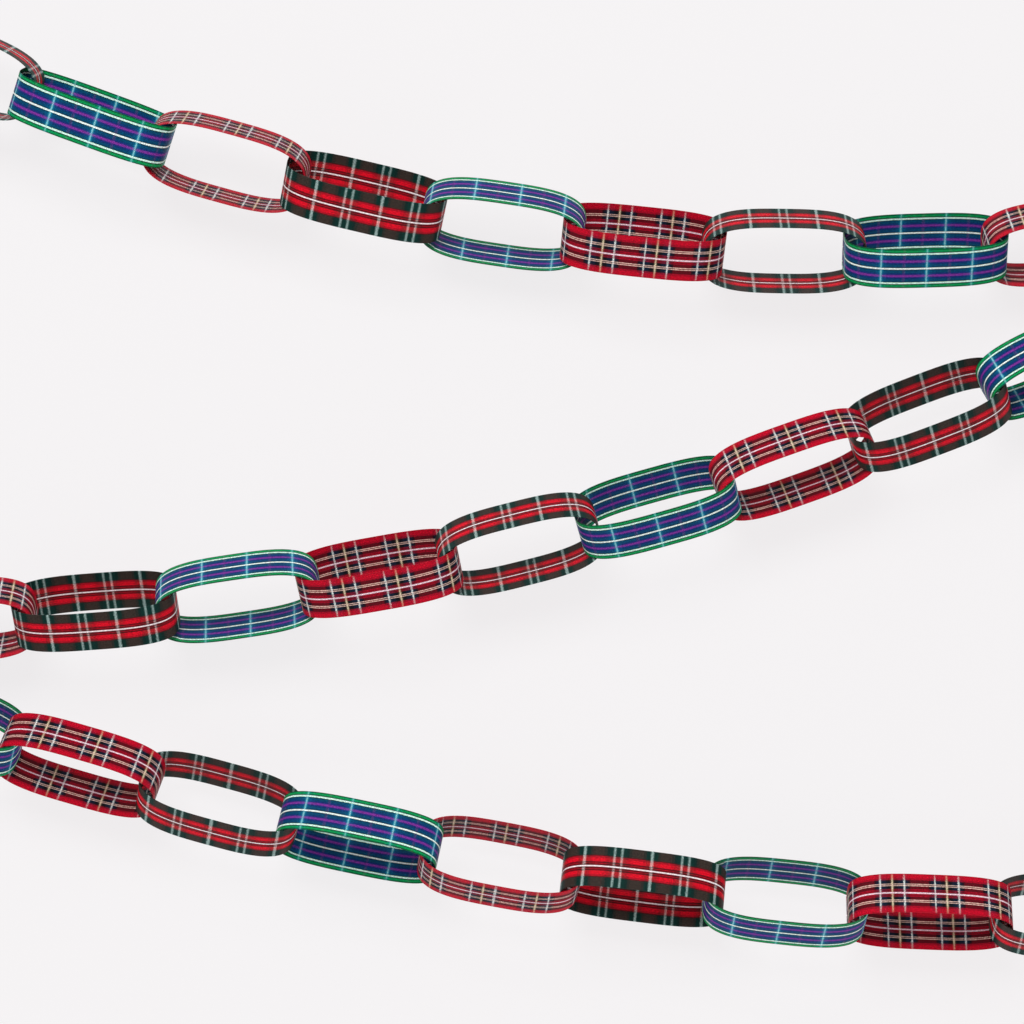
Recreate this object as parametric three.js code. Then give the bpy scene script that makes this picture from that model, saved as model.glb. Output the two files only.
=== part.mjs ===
// A paper chain garland: thirty loops of printed card, each threaded through the last,
// hung from four hooks as three slack passes. Millimetres, X right, Y away from the front, Z up.
// The origin is the point where the first loop hangs on the top left hook.
import * as THREE from "three";

// The strip of card that every loop is made from.
const STRIP_WIDTH = 22;
const CARD = 0.3;
const LAP = 12;

// A loop is a flattened oval: a superellipse, squarer than an ellipse where its neighbours pull.
const HALF_LENGTH = 41.3;
const HALF_DEPTH = 18.2;
const SQUARENESS = 3.1;
const OUTLINE_STEPS = 34;
const LAP_AT = 2.35; // radians round the oval, on the side away from the front

// The three printed cards, alternately green, red and dark.
const CARDS = {
  green: new THREE.MeshStandardMaterial({ color: 0x1b4f73, roughness: 0.45, metalness: 0 }),
  red: new THREE.MeshStandardMaterial({ color: 0xb01c30, roughness: 0.45, metalness: 0 }),
  dark: new THREE.MeshStandardMaterial({ color: 0x5a2a2c, roughness: 0.45, metalness: 0 }),
};

// Each pass hangs as a catenary. The lowest point and the parameter give the curve, start is the
// first loop's distance along it from the lowest point, and step is the distance from loop to loop.
// Depth is how far back the first and the last loop hang. A loop's roll, in degrees, turns its
// upper edge towards the front.
const PASSES = [
  {
    name: "top",
    lowest: [480, -107.7],
    parameter: 1080,
    start: -456.8,
    step: 70.8,
    depth: [0, 6],
    loops: [
      ["dark", -75], ["green", 17], ["red", -66], ["dark", 30], ["green", -55],
      ["red", 30], ["dark", -60], ["green", 34], ["red", -54],
    ],
  },
  {
    name: "middle",
    lowest: [-10, -292.5],
    parameter: 1380,
    start: 613.5,
    step: -71.4,
    depth: [-6, 0],
    loops: [
      ["green", -40], ["dark", 46], ["red", -46], ["green", 38], ["dark", -56],
      ["red", 29], ["green", -55], ["dark", 32], ["red", -56],
    ],
  },
  {
    name: "bottom",
    lowest: [600, -440.1],
    parameter: 1700,
    start: -583.7,
    step: 72,
    depth: [0, 0],
    loops: [
      ["green", 42], ["red", -44], ["dark", 49], ["green", -35], ["red", 56],
      ["dark", -32], ["green", 52], ["red", -37], ["dark", 55],
    ],
  },
];

// The loops that take the chain round the hooks from one pass to the next, with the middle of each,
// the slope of its long side and how far that leans back, its roll and its half length and depth.
const TURNS = [
  {
    name: "right_turn",
    card: "dark",
    middle: [608.3, -0.8, -130.3],
    slope: 80,
    lean: 28,
    roll: 0,
    half: [HALF_LENGTH, HALF_DEPTH],
  },
  {
    name: "left_turn_upper",
    card: "green",
    middle: [-31.8, -2, -299.4],
    slope: 11,
    lean: 0,
    roll: 24,
    half: [37, 21.5],
  },
  {
    name: "left_turn_lower",
    card: "dark",
    middle: [-39.3, 4.4, -314],
    slope: -27,
    lean: 12,
    roll: -47,
    half: [43.5, 16],
  },
];

const degrees = THREE.MathUtils.degToRad;

// The point of the oval at an angle, moved outwards by an offset.
function ovalPoint(angle, halfLength, halfDepth, offset) {
  const bend = (value) => Math.sign(value) * Math.abs(value) ** (2 / SQUARENESS);
  const x = bend(Math.cos(angle));
  const y = bend(Math.sin(angle));
  const slant = SQUARENESS - 1;
  const normal = new THREE.Vector2(
    Math.sign(x) * (Math.abs(x) ** slant / halfLength),
    Math.sign(y) * (Math.abs(y) ** slant / halfDepth),
  ).normalize();
  return new THREE.Vector2(halfLength * x, halfDepth * y).addScaledVector(normal, offset);
}

// A strip bent once round the oval, its tail glued over its head. The strip winds outwards by one
// thickness in a turn, so the lap is two thicknesses and each end of the strip is a real edge.
function loopGeometry([halfLength, halfDepth]) {
  const turn = 2 * Math.PI;
  const lapTurn = LAP / halfLength;
  const face = (from, side) => {
    const points = [];
    for (let i = 0; i <= OUTLINE_STEPS; i += 1) {
      const wound = from + (turn * i) / OUTLINE_STEPS;
      const offset = CARD * (wound / turn - 1 + side);
      points.push(ovalPoint(LAP_AT + wound, halfLength, halfDepth, offset));
    }
    return points;
  };
  const outline = new THREE.Shape(face(lapTurn, 1 / 2));
  outline.holes.push(new THREE.Path(face(0, -1 / 2)));
  const geometry = new THREE.ExtrudeGeometry(outline, { depth: STRIP_WIDTH, bevelEnabled: false });
  return geometry.translate(0, 0, -STRIP_WIDTH / 2);
}

// A named loop: its long side lies along a direction, and its roll turns it about that side.
function addLoop(group, name, card, middle, along, roll, half) {
  const front = new THREE.Vector3(0, -1, 0);
  const upper = new THREE.Vector3().crossVectors(along, front).negate().normalize();
  const towards = new THREE.Vector3().crossVectors(along, upper).normalize();
  const width = upper.multiplyScalar(Math.cos(roll)).addScaledVector(towards, Math.sin(roll));
  const across = new THREE.Vector3().crossVectors(width, along);
  const loop = new THREE.Mesh(loopGeometry(half), CARDS[card]);
  loop.name = name;
  loop.setRotationFromMatrix(new THREE.Matrix4().makeBasis(along, across, width));
  loop.position.copy(middle);
  group.add(loop);
}

// One slack pass of the chain, loop after loop along its catenary.
function passOfLoops(pass) {
  const group = new THREE.Group();
  const last = pass.loops.length - 1;
  group.position.set(pass.lowest[0], 0, pass.lowest[1]);
  const slide = (pass.depth[1] - pass.depth[0]) / (last * Math.abs(pass.step));
  pass.loops.forEach(([card, roll], index) => {
    const run = pass.start + index * pass.step;
    const x = pass.parameter * Math.asinh(run / pass.parameter);
    const z = pass.parameter * (Math.cosh(x / pass.parameter) - 1);
    const y = pass.depth[0] + slide * index * Math.abs(pass.step);
    const rise = Math.atan(run / pass.parameter);
    const yaw = slide * Math.sign(pass.step);
    const along = new THREE.Vector3(Math.cos(rise), yaw, Math.sin(rise)).normalize();
    const name = `${pass.name}_loop_${index + 1}_${card}`;
    const middle = new THREE.Vector3(x, y, z);
    addLoop(group, name, card, middle, along, degrees(roll), [HALF_LENGTH, HALF_DEPTH]);
  });
  return group;
}

const garland = new THREE.Group();
for (const pass of PASSES) garland.add(passOfLoops(pass));
for (const { name, card, middle, slope, lean, roll, half } of TURNS) {
  const along = new THREE.Vector3(Math.cos(degrees(slope)), 0, Math.sin(degrees(slope)));
  along.applyAxisAngle(new THREE.Vector3(1, 0, 0), -degrees(lean));
  const place = new THREE.Vector3(...middle);
  addLoop(garland, `${name}_${card}`, card, place, along, degrees(roll), half);
}

export default garland;
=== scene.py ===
"""Paper chain garland: thirty loops of tartan printed card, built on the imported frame.

Every loop is a flat strip of card, bent round the oval that its frame node gives, lapped, given
its thickness and dressed in one of three printed tartans. Lengths are metres in the scene and
millimetres in the patterns, where a strip's UV map is its own ruler.
"""

import math

import bpy
import numpy as np
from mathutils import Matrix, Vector


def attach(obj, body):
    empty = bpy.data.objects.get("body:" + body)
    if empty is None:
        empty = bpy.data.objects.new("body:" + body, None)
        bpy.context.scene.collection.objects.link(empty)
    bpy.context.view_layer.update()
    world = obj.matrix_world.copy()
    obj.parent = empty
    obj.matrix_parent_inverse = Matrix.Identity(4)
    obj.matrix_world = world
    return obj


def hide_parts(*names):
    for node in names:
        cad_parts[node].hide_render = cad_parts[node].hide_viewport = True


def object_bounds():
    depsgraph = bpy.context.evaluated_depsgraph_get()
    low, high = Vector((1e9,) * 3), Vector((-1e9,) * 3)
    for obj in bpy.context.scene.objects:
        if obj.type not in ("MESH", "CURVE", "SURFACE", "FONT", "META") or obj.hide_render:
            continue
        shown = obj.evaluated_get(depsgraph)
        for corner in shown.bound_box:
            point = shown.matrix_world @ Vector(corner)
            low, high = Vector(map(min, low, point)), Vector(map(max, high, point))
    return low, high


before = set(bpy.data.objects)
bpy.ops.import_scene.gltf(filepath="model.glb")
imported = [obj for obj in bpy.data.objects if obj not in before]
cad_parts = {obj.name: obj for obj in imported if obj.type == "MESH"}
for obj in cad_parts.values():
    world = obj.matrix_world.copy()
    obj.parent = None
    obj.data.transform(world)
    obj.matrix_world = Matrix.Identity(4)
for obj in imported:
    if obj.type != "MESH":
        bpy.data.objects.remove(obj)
CAD_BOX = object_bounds()

bl_info = {
    "name": "Tartan paper chain",
    "version": (1, 0, 0),
    "blender": (4, 5, 0),
    "location": "3D View > Sidebar > Paper chain",
    "description": "Bends printed card strips into the loops of a hanging paper chain",
    "category": "Object",
}

MM = 0.001
CARD = 0.3 * MM  # thickness
STRIP_MM = 22.0  # width of a strip, in the patterns' millimetres
LAP = 12 * MM  # that a strip's tail lies over its head
SQUARENESS = 3.1  # of the oval: 2 is an ellipse, and the pull of the neighbours squares it
LAP_AT = 2.35  # radians round the oval, on the side away from the front
WIND = 1.1  # card thicknesses that a strip winds outwards in a turn, so that its lap lies clear
AROUND = 168  # steps along a strip
ACROSS = 10  # steps from one long edge of a strip to the other
MEASURED_TURNS = 1.2  # turns of the oval that are measured, to take in the lap
MEASURED_STEPS = 1440
FRONT = 1.5 * math.pi  # radians round the oval to the middle of its nearer side
CREASE = math.radians(35)  # edges sharper than this stay sharp, as the card's cut rim does

# The stage. The camera looks straight at a point that lies this far in from the garland's left
# end and this far down from its top.
SIGHT_IN = 0.3947
SIGHT_DOWN = 0.2515
SENSOR_MM = 36
FLOOR_DROP = 0.24  # from the garland's lowest point
FLOOR_SIZE = (2.4, 1.6)
WALL_GAP = 0.008  # behind the garland
WALL_WIDTH = 1.4
WALL_ABOVE = 0.2  # over the garland's highest point
ROOM_LIGHT = 0.44  # that the surroundings shed, as a share of how bright they look
KEY_FROM = Vector((-0.35, -1.75, 1.1))  # from the point in sight
KEY_SIZE = 1.0
KEY_WATTS = 26.0

# How far right of the middle of its nearer side each loop's print has a group of bars, in
# millimetres: the strips are cut from the sheet without regard to the print.
BARS_AT = {
    "top_loop_1_dark": 4,
    "top_loop_2_green": 5,
    "top_loop_3_red": 2,
    "top_loop_4_dark": -6,
    "top_loop_5_green": 7,
    "top_loop_6_red": 7,
    "top_loop_7_dark": -1,
    "top_loop_8_green": -1,
    "top_loop_9_red": 5,
    "right_turn_dark": 3,
    "middle_loop_1_green": -9,
    "middle_loop_2_dark": 14,
    "middle_loop_3_red": 2,
    "middle_loop_4_green": -2,
    "middle_loop_5_dark": -2,
    "middle_loop_6_red": 10,
    "middle_loop_7_green": 8,
    "middle_loop_8_dark": -4,
    "middle_loop_9_red": 5,
    "left_turn_upper_green": 3,
    "left_turn_lower_dark": -8,
    "bottom_loop_1_green": -3,
    "bottom_loop_2_red": 7,
    "bottom_loop_3_dark": 17,
    "bottom_loop_4_green": -6,
    "bottom_loop_5_red": -6,
    "bottom_loop_6_dark": -14,
    "bottom_loop_7_green": -3,
    "bottom_loop_8_red": 7,
    "bottom_loop_9_dark": 8,
}


# Colours ---------------------------------------------------------------------------------------


def linear(code):
    """An sRGB hex value such as 'c8283c' as linear red, green, blue and alpha."""
    channels = [int(code[i : i + 2], 16) / 255 for i in (0, 2, 4)]
    return (*[c / 12.92 if c <= 0.04045 else ((c + 0.055) / 1.055) ** 2.4 for c in channels], 1.0)


# A tartan mirrors itself both ways. Its stripes are given from the middle line out to the edge,
# and its cross threads from the middle of one group of bars to halfway to the next: the
# millimetre at which each ends, its colour and its share. A stripe's share is how much of the
# cross threads lies over it, and a cross thread's is how strongly it shows.
GREEN_WARP = (
    (0.44, "f2fffa", 0.08),
    (1.00, "00384a", 0.45),
    (2.40, "00466c", 0.50),
    (3.20, "0c3472", 0.50),
    (3.60, "34287c", 0.45),
    (4.70, "7c3296", 0.36),
    (5.10, "34287c", 0.45),
    (6.00, "0c3472", 0.50),
    (7.30, "00466a", 0.50),
    (7.80, "003c40", 0.40),
    (8.72, "dcfff0", 0.08),
    (9.30, "014a30", 0.30),
    (10.40, "069650", 0.30),
    (11.2, "035c36", 0.30),
)
GREEN_WEFT = (
    (0.30, "b4fbff", 1.10),
    (0.58, "4ce0f4", 0.90),
    (1.20, "12a0c0", 0.52),
    (2.60, "0878a4", 0.36),
    (4.60, "0a6090", 0.18),
    (10.7, "182c74", 0.00),
    (11.35, "d03cb4", 0.12),
)
RED_WARP = (
    (0.42, "ffdce8", 0.14),
    (0.80, "66051a", 0.40),
    (1.20, "b80624", 0.44),
    (1.60, "4c0416", 0.44),
    (2.15, "a40624", 0.46),
    (2.60, "300812", 0.55),
    (3.92, "060a10", 0.66),
    (4.36, "fcd4c4", 0.36),
    (4.82, "28080e", 0.60),
    (5.26, "fcd4c4", 0.36),
    (6.60, "060a10", 0.66),
    (7.40, "300812", 0.55),
    (8.40, "a80624", 0.34),
    (10.2, "c80426", 0.24),
    (11.2, "bc0424", 0.12),
)
RED_WEFT = (
    (0.42, "fcecc4", 1.12),
    (1.10, "3c3020", 0.90),
    (2.90, "07101c", 0.85),
    (4.60, "08243e", 0.80),
    (5.58, "0c2c48", 0.85),
    (6.40, "eefaf8", 1.14),
    (7.80, "08243e", 0.85),
    (8.90, "2c0e22", 0.60),
    (13.5, "ac0626", 0.40),
)
DARK_WARP = (
    (0.36, "fff8fa", 0.06),
    (0.85, "90061f", 0.34),
    (1.25, "1e0206", 0.30),
    (1.80, "b40624", 0.50),
    (2.20, "280206", 0.30),
    (2.60, "94041f", 0.50),
    (4.60, "ee0228", 0.56),
    (5.60, "c00426", 0.60),
    (6.20, "48141c", 0.60),
    (11.2, "06322e", 0.62),
)
DARK_WEFT = (
    (1.20, "05302a", 0.85),
    (1.62, "98bab4", 0.60),
    (2.14, "d2f0ea", 0.70),
    (2.50, "98bab4", 0.60),
    (4.20, "05302a", 0.85),
    (5.60, "101e1a", 0.70),
    (7.00, "501a10", 0.44),
    (12.6, "80200f", 0.28),
    (13.8, "501a10", 0.44),
    (16.0, "042820", 0.75),
    (16.3, "98bab4", 0.60),
    (16.8, "d2f0ea", 0.70),
)


class CardSettings(bpy.types.PropertyGroup):
    """The printed card."""

    thickness: bpy.props.FloatProperty(
        name="Thickness",
        description="Thickness of the card",
        default=CARD,
        min=0.0001,
        unit="LENGTH",
    )
    roughness: bpy.props.FloatProperty(
        name="Roughness",
        description="Roughness of the coated face: 0 is a mirror, 1 is chalk",
        default=0.5,
        min=0.0,
        max=1.0,
        subtype="FACTOR",
    )
    rib: bpy.props.FloatProperty(
        name="Twill rib",
        description="Distance from one printed diagonal rib to the next, in millimetres",
        default=0.9,
        min=0.2,
    )


class StageSettings(bpy.types.PropertyGroup):
    """The studio."""

    lens: bpy.props.FloatProperty(
        name="Lens",
        description="Focal length of the camera, in millimetres",
        default=120.0,
        min=10.0,
    )
    framed: bpy.props.FloatProperty(
        name="Framed width",
        description="Width that the picture takes in, at the garland",
        default=0.512,
        unit="LENGTH",
    )
    pale: bpy.props.FloatVectorProperty(
        name="Backdrop",
        description="Colour of the wall, the floor and the studio's light",
        default=linear("f5f3f4")[:3],
        subtype="COLOR",
        size=3,
    )


# Materials -------------------------------------------------------------------------------------

# What every tartan is printed with. Blurs are millimetres to each side of an edge, and a fray is
# the span in millimetres that the yarn's noise moves an edge over. Each pair is the slope and the
# base that turn a factor from 0 to 1 into a strength about 1. A real print's yarn may be finer
# than this: it is drawn as coarse as it needs to be to show.
STRIPE_BLUR = 0.06
STRIPE_FRAY = 0.36
BAR_FRAY = 1.6
YARN_SCALE = 2.1  # grains to a millimetre
YARN_GRAIN = 2.8  # how strongly the yarn lightens and darkens the print
RIB_ON_BARS = (0.8, 0.6)
RIB_ON_TONE = (0.64, 0.68)
STREAKS_ON_TONE = (1.7, 0.16)
STREAK_SCALE = (0.8, 2.9, 1.0)  # streaks to a millimetre along the strip, and across it
SHEEN = 0.09  # the coating is thin and matt, so it mirrors little
RIB_RELIEF = 0.6  # of the yarn's own relief
RELIEF_STRENGTH = 0.1
RELIEF = 0.05 * MM


def add_node(tree, kind, values=(), **settings):
    """One node with its settings, and each socket set to a value or linked to another's output."""
    node = tree.nodes.new(kind)
    for name, value in settings.items():
        setattr(node, name, value)
    for socket, value in dict(values).items():
        if isinstance(value, bpy.types.NodeSocket):
            tree.links.new(value, node.inputs[socket])
        else:
            node.inputs[socket].default_value = value
    return node


def math_node(tree, operation, *values):
    """The output of one Math node."""
    return add_node(tree, "ShaderNodeMath", dict(enumerate(values)), operation=operation).outputs[0]


def stripes(tree, ruler, bands, blur):
    """A colour ramp along a ruler in millimetres, in bands with blurred edges."""
    whole = bands[-1][0]
    ramp = add_node(tree, "ShaderNodeValToRGB", {0: math_node(tree, "DIVIDE", ruler, whole)})
    stops = []
    start = 0.0
    for end, code, share in bands:
        colour = (*linear(code)[:3], share)
        stops += [(start + blur, colour), (max(end - blur, start + blur), colour)]
        start = end
    elements = ramp.color_ramp.elements
    for index, (place, colour) in enumerate(stops):
        element = elements[index] if index < 2 else elements.new(1.0)
        element.position = place / whole
        element.color = colour
    return ramp


def tartan(name, warp, weft, weft_blur):
    """Coated printed card, both sides: crisp stripes along it, softer bars across it, in a twill.

    The print copies woven cloth: its twill breaks the bars into short slanting dashes, each
    colour is streaked lengthwise by its threads, and the card's coating gives a faint sheen.
    """
    card = bpy.context.scene.garland_card
    material = bpy.data.materials.new(name)
    material.use_nodes = True
    tree = material.node_tree
    shader = tree.nodes["Principled BSDF"]
    ruler = add_node(tree, "ShaderNodeUVMap", uv_map="strip_mm").outputs[0]
    yarn = add_node(
        tree, "ShaderNodeTexNoise", {"Vector": ruler, "Scale": YARN_SCALE, "Detail": 2.0}
    )
    fray = math_node(tree, "SUBTRACT", yarn.outputs[0], 0.5)
    place = add_node(tree, "ShaderNodeSeparateXYZ", {0: ruler})
    along, across = place.outputs[0], place.outputs[1]
    from_middle = math_node(tree, "ABSOLUTE", across)
    from_bar = math_node(tree, "PINGPONG", along, weft[-1][0])
    frayed_middle = math_node(tree, "MULTIPLY_ADD", fray, STRIPE_FRAY, from_middle)
    lengthwise = stripes(tree, frayed_middle, warp, STRIPE_BLUR)
    frayed_bar = math_node(tree, "MULTIPLY_ADD", fray, BAR_FRAY, from_bar)
    crosswise = stripes(tree, frayed_bar, weft, weft_blur)
    slant = math_node(tree, "ADD", along, across)
    thread = math_node(
        tree, "DIVIDE", math_node(tree, "PINGPONG", slant, card.rib / 2), card.rib / 2
    )
    ease = math_node(tree, "MULTIPLY_ADD", thread, *RIB_ON_BARS)
    showing = math_node(tree, "MULTIPLY", lengthwise.outputs[1], crosswise.outputs[1])
    share = math_node(tree, "MULTIPLY", showing, ease)
    woven = add_node(
        tree,
        "ShaderNodeMix",
        {0: share, 6: lengthwise.outputs[0], 7: crosswise.outputs[0]},
        data_type="RGBA",
        clamp_factor=True,
    )
    stretch = add_node(tree, "ShaderNodeMapping", {"Vector": ruler, "Scale": STREAK_SCALE})
    streaks = add_node(
        tree, "ShaderNodeTexNoise", {"Vector": stretch.outputs[0], "Scale": 1.0, "Detail": 3.0}
    )
    streaky = math_node(tree, "MULTIPLY_ADD", streaks.outputs[0], *STREAKS_ON_TONE)
    ribbed = math_node(tree, "MULTIPLY_ADD", thread, *RIB_ON_TONE)
    grainy = math_node(tree, "MULTIPLY_ADD", fray, YARN_GRAIN, ribbed)
    tone = math_node(tree, "MULTIPLY", streaky, grainy)
    inked = add_node(tree, "ShaderNodeHueSaturation", {"Value": tone, "Color": woven.outputs[2]})
    tree.links.new(inked.outputs[0], shader.inputs["Base Color"])
    shader.inputs["Roughness"].default_value = card.roughness
    shader.inputs["Specular IOR Level"].default_value = SHEEN
    relief = math_node(tree, "MULTIPLY_ADD", thread, RIB_RELIEF, yarn.outputs[0])
    bump = add_node(
        tree,
        "ShaderNodeBump",
        {"Strength": RELIEF_STRENGTH, "Distance": RELIEF, "Height": relief},
    )
    tree.links.new(bump.outputs[0], shader.inputs["Normal"])
    return material


def stage_material(name, shade, own_light, seen_from_behind=True):
    """A studio sheet: matt paint with some light of its own, so that only soft shadows show."""
    material = bpy.data.materials.new(name)
    material.use_nodes = True
    tree = material.node_tree
    shader = tree.nodes["Principled BSDF"]
    pale = bpy.context.scene.garland_stage.pale
    shader.inputs["Base Color"].default_value = (*[c * shade for c in pale], 1.0)
    shader.inputs["Roughness"].default_value = 1.0
    shader.inputs["Specular IOR Level"].default_value = 0.0
    shader.inputs["Emission Color"].default_value = (*pale, 1.0)
    shader.inputs["Emission Strength"].default_value = own_light
    if not seen_from_behind:
        side = add_node(tree, "ShaderNodeNewGeometry").outputs["Backfacing"]
        clear = add_node(tree, "ShaderNodeBsdfTransparent").outputs[0]
        one_way = add_node(tree, "ShaderNodeMixShader", {0: side, 1: shader.outputs[0], 2: clear})
        tree.links.new(one_way.outputs[0], tree.nodes["Material Output"].inputs["Surface"])
    return material


# Each print's stripes, its cross threads and the blur of its bars.
PRINTS = {
    "green": (GREEN_WARP, GREEN_WEFT, 0.12),
    "red": (RED_WARP, RED_WEFT, 0.2),
    "dark": (DARK_WARP, DARK_WEFT, 0.15),
}


def finish_of(kind):
    """The card of that print, made the first time it is asked for."""
    name = kind + " tartan printed card"
    return bpy.data.materials.get(name) or tartan(name, *PRINTS[kind])


# Loops -----------------------------------------------------------------------------------------


def lie_of(node):
    """A loop's middle, its three own directions and its half sizes along them, from its node."""
    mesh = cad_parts[node].data
    points = np.empty(len(mesh.vertices) * 3)
    mesh.vertices.foreach_get("co", points)
    points = np.unique(points.reshape(-1, 3).round(7), axis=0)  # each corner once
    middle = points.mean(axis=0)
    spread, axes = np.linalg.eigh(np.cov((points - middle).T))
    along, across, width = axes[:, np.argsort(spread)[::-1]].T
    if along[np.argmax(abs(along))] < 0:
        along = -along
    if width[2] < 0:
        width = -width
    across = np.cross(width, along)
    axes = (along, across, width)
    reach = [(points - middle) @ axis for axis in axes]
    middle = middle + sum(axis * (r.max() + r.min()) / 2 for axis, r in zip(axes, reach))
    halves = [(r.max() - r.min()) / 2 for r in reach]
    return Vector(middle), [Vector(a) for a in axes], halves


def oval(angle, half_length, half_depth):
    """The point of the oval at an angle, and the direction straight out of it."""
    c, s = math.cos(angle), math.sin(angle)
    x = math.copysign(abs(c) ** (2 / SQUARENESS), c)
    y = math.copysign(abs(s) ** (2 / SQUARENESS), s)
    slant = SQUARENESS - 1
    out = Vector((
        math.copysign(abs(x) ** slant / half_length, x),
        math.copysign(abs(y) ** slant / half_depth, y),
    )).normalized()
    return Vector((half_length * x, half_depth * y)), out


def walk_round(half_length, half_depth):
    """Even steps along a strip that goes once round the oval and laps over its own head.

    Gives the strip's length, how far along it the middle of the nearer side comes, and how far
    round each step is, in radians.
    """
    turn = 2 * math.pi
    wound = np.linspace(0, turn * MEASURED_TURNS, MEASURED_STEPS + 1)
    points = [oval(LAP_AT + angle, half_length, half_depth)[0] for angle in wound]
    run = np.cumsum([0.0] + [(q - p).length for p, q in zip(points, points[1:])])
    length = float(np.interp(turn, wound, run)) + LAP
    front = float(np.interp(FRONT - LAP_AT, wound, run))
    stations = np.interp(np.linspace(0, length, AROUND + 1), run, wound)
    return length, front, [float(s) for s in stations]


def bend_strip(node):
    """A card strip as a grid, bent round the oval of its node, with its ruler as a UV map."""
    card = bpy.context.scene.garland_card
    middle, (along, across, width), (half_length, half_depth, half_width) = lie_of(node)
    half_length -= card.thickness  # so that the card's outer face lies on the node's
    half_depth -= card.thickness
    length, front, stations = walk_round(half_length, half_depth)
    bpy.ops.object.select_all(action="DESELECT")
    bpy.ops.mesh.primitive_grid_add(
        x_subdivisions=AROUND, y_subdivisions=ACROSS, size=1.0, calc_uvs=True
    )
    strip = bpy.context.object
    strip.name = strip.data.name = node + "_strip"
    ruler = strip.data.uv_layers.active
    ruler.name = "strip_mm"
    for loop, mark in zip(strip.data.loops, ruler.data):
        flat = strip.data.vertices[loop.vertex_index].co
        mark.uv = (
            ((flat.x + 0.5) * length - front) / MM - BARS_AT[node],
            flat.y * STRIP_MM,
        )
    wind = card.thickness * WIND
    for vertex in strip.data.vertices:
        step = round((vertex.co.x + 0.5) * AROUND)
        wound = stations[step]
        point, out = oval(LAP_AT + wound, half_length, half_depth)
        point += out * wind * (wound / (2 * math.pi) - 0.5)
        height = vertex.co.y * 2 * half_width
        vertex.co = middle + along * point.x + across * point.y + width * height
    return strip


def thicken(strip, card_kind):
    """Gives a bent strip its thickness, its print and its cut edge, and smooths its bend."""
    strip.data.materials.append(finish_of(card_kind))
    solid = strip.modifiers.new("card", "SOLIDIFY")
    solid.thickness = bpy.context.scene.garland_card.thickness
    solid.offset = 0.0
    bpy.context.view_layer.objects.active = strip
    bpy.ops.object.modifier_apply(modifier=solid.name)
    bpy.ops.object.shade_smooth_by_angle(angle=CREASE)


def make_loops(prefix):
    """Every loop whose node's name starts with the prefix."""
    for node in sorted(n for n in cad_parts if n.startswith(prefix)):
        kind = node.rsplit("_", 1)[1]
        strip = bend_strip(node)
        thicken(strip, kind)
        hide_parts(node)
        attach(strip, "root")


class GARLAND_OT_top_pass(bpy.types.Operator):
    """Bend the loops of the top pass"""

    bl_idname = "garland.top_pass"
    bl_label = "Top pass"

    def execute(self, context):
        make_loops("top_loop_")
        return {"FINISHED"}


class GARLAND_OT_middle_pass(bpy.types.Operator):
    """Bend the loops of the middle pass"""

    bl_idname = "garland.middle_pass"
    bl_label = "Middle pass"

    def execute(self, context):
        make_loops("middle_loop_")
        return {"FINISHED"}


class GARLAND_OT_bottom_pass(bpy.types.Operator):
    """Bend the loops of the bottom pass"""

    bl_idname = "garland.bottom_pass"
    bl_label = "Bottom pass"

    def execute(self, context):
        make_loops("bottom_loop_")
        return {"FINISHED"}


class GARLAND_OT_turns(bpy.types.Operator):
    """Bend the loops that take the chain round its hooks"""

    bl_idname = "garland.turns"
    bl_label = "Turn loops"

    def execute(self, context):
        make_loops("right_turn")
        make_loops("left_turn")
        return {"FINISHED"}


# Stage -----------------------------------------------------------------------------------------


def lay_sheet(name, location, turn, size, material):
    """A flat sheet of the studio, turned about X."""
    bpy.ops.object.select_all(action="DESELECT")
    bpy.ops.mesh.primitive_plane_add(size=1.0, location=location, rotation=(turn, 0, 0))
    sheet = bpy.context.object
    sheet.name = name
    sheet.scale = (size[0], size[1], 1)
    bpy.ops.object.transform_apply(location=True, rotation=True, scale=True)
    sheet.data.materials.append(material)


def hang_light(name, location, target, size, power):
    """A soft square light that looks at a point."""
    bpy.ops.object.light_add(type="AREA", location=location)
    light = bpy.context.object
    light.name = name
    light.data.size = size
    light.data.energy = power
    aim = Vector(target) - Vector(location)
    light.rotation_euler = aim.to_track_quat("-Z", "Y").to_euler()


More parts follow.
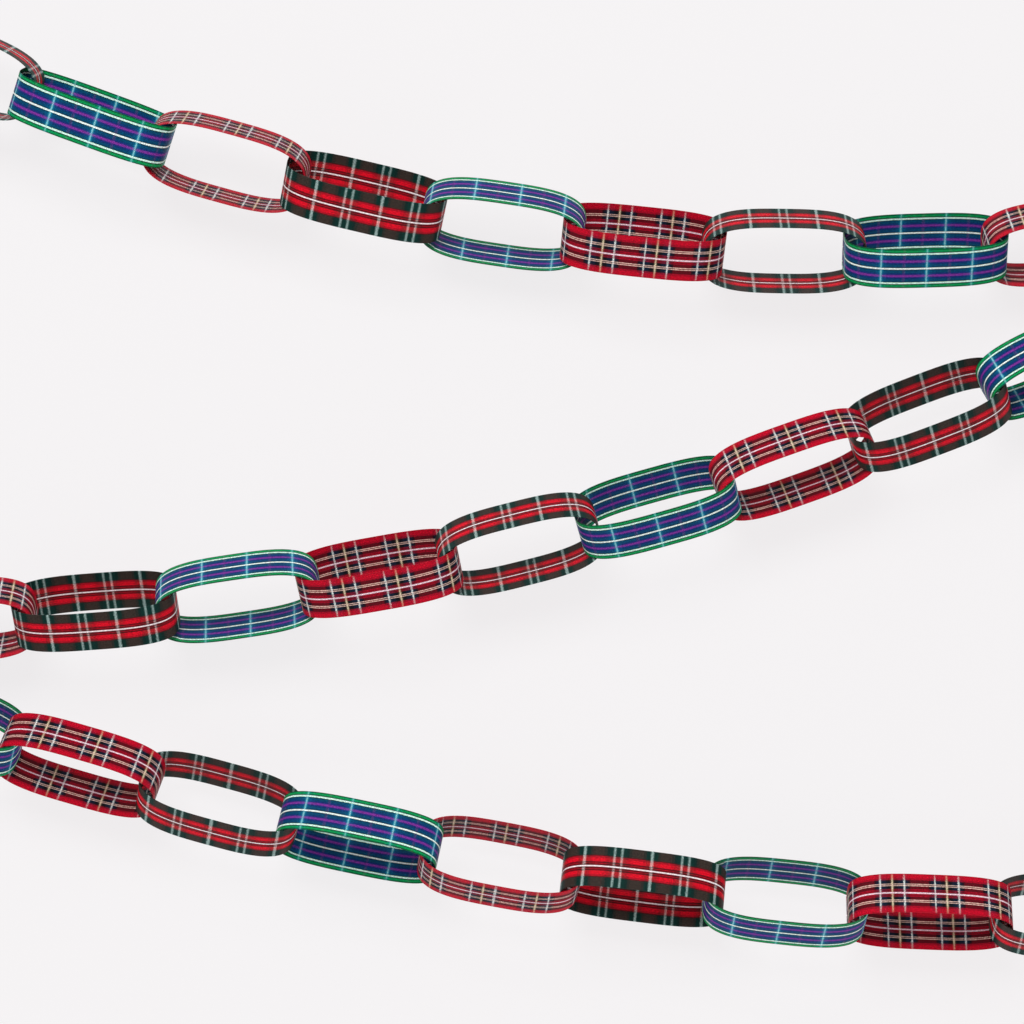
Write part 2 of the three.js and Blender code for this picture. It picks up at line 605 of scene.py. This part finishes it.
class GARLAND_OT_stage(bpy.types.Operator):
    """Set up the camera, the lights, the wall and the floor"""

    bl_idname = "garland.stage"
    bl_label = "Stage"

    def execute(self, context):
        scene = context.scene
        stage = scene.garland_stage
        low, high = CAD_BOX
        sight = Vector((low.x + SIGHT_IN, 0.0, high.z - SIGHT_DOWN))
        bpy.ops.object.camera_add()
        camera = context.object
        camera.name = "camera"
        camera.data.lens = stage.lens
        camera.data.sensor_width = SENSOR_MM
        away = stage.framed * stage.lens / camera.data.sensor_width
        camera.location = sight - Vector((0, away, 0))
        camera.rotation_euler = (math.pi / 2, 0, 0)
        scene.camera = camera
        world = scene.world or bpy.data.worlds.new("studio")
        scene.world = world
        world.use_nodes = True
        tree = world.node_tree
        sky = tree.nodes["Background"]
        sky.inputs["Color"].default_value = (*stage.pale, 1.0)
        sky.inputs["Strength"].default_value = ROOM_LIGHT
        seen = add_node(tree, "ShaderNodeBackground", {"Color": (*stage.pale, 1.0)})
        direct = add_node(tree, "ShaderNodeLightPath").outputs["Is Camera Ray"]
        both = add_node(
            tree, "ShaderNodeMixShader", {0: direct, 1: sky.outputs[0], 2: seen.outputs[0]}
        )
        tree.links.new(both.outputs[0], tree.nodes["World Output"].inputs["Surface"])
        scene.view_settings.view_transform = "Standard"
        hang_light("front softbox", sight + KEY_FROM, sight, KEY_SIZE, KEY_WATTS)
        ground = low.z - FLOOR_DROP
        floor = stage_material("matt studio floor paper", shade=0.4, own_light=0.6)
        lay_sheet("floor", (sight.x, 0, ground), 0, FLOOR_SIZE, floor)
        wall = stage_material(
            "matt white wall paint", shade=0.14, own_light=0.87, seen_from_behind=False
        )
        height = high.z + WALL_ABOVE - ground
        middle = (sight.x, high.y + WALL_GAP, ground + height / 2)
        lay_sheet("wall", middle, math.pi / 2, (WALL_WIDTH, height), wall)
        return {"FINISHED"}


class GARLAND_PT_panel(bpy.types.Panel):
    """The garland's pieces and settings, in the sidebar"""

    bl_idname = "GARLAND_PT_panel"
    bl_label = "Paper chain"
    bl_space_type = "VIEW_3D"
    bl_region_type = "UI"
    bl_category = "Paper chain"

    def draw(self, context):
        for settings in (context.scene.garland_card, context.scene.garland_stage):
            for name in settings.__annotations__:
                self.layout.prop(settings, name)
        for operator in STEPS:
            self.layout.operator(operator.bl_idname)


STEPS = (
    GARLAND_OT_stage,
    GARLAND_OT_top_pass,
    GARLAND_OT_middle_pass,
    GARLAND_OT_bottom_pass,
    GARLAND_OT_turns,
)
CLASSES = (CardSettings, StageSettings, *STEPS, GARLAND_PT_panel)


def register():
    for cls in CLASSES:
        bpy.utils.register_class(cls)
    bpy.types.Scene.garland_card = bpy.props.PointerProperty(type=CardSettings)
    bpy.types.Scene.garland_stage = bpy.props.PointerProperty(type=StageSettings)


def unregister():
    del bpy.types.Scene.garland_stage
    del bpy.types.Scene.garland_card
    for cls in reversed(CLASSES):
        bpy.utils.unregister_class(cls)


def main():
    register()
    for step in STEPS:
        group, name = step.bl_idname.split(".")
        getattr(getattr(bpy.ops, group), name)()


if __name__ == "__main__":
    main()
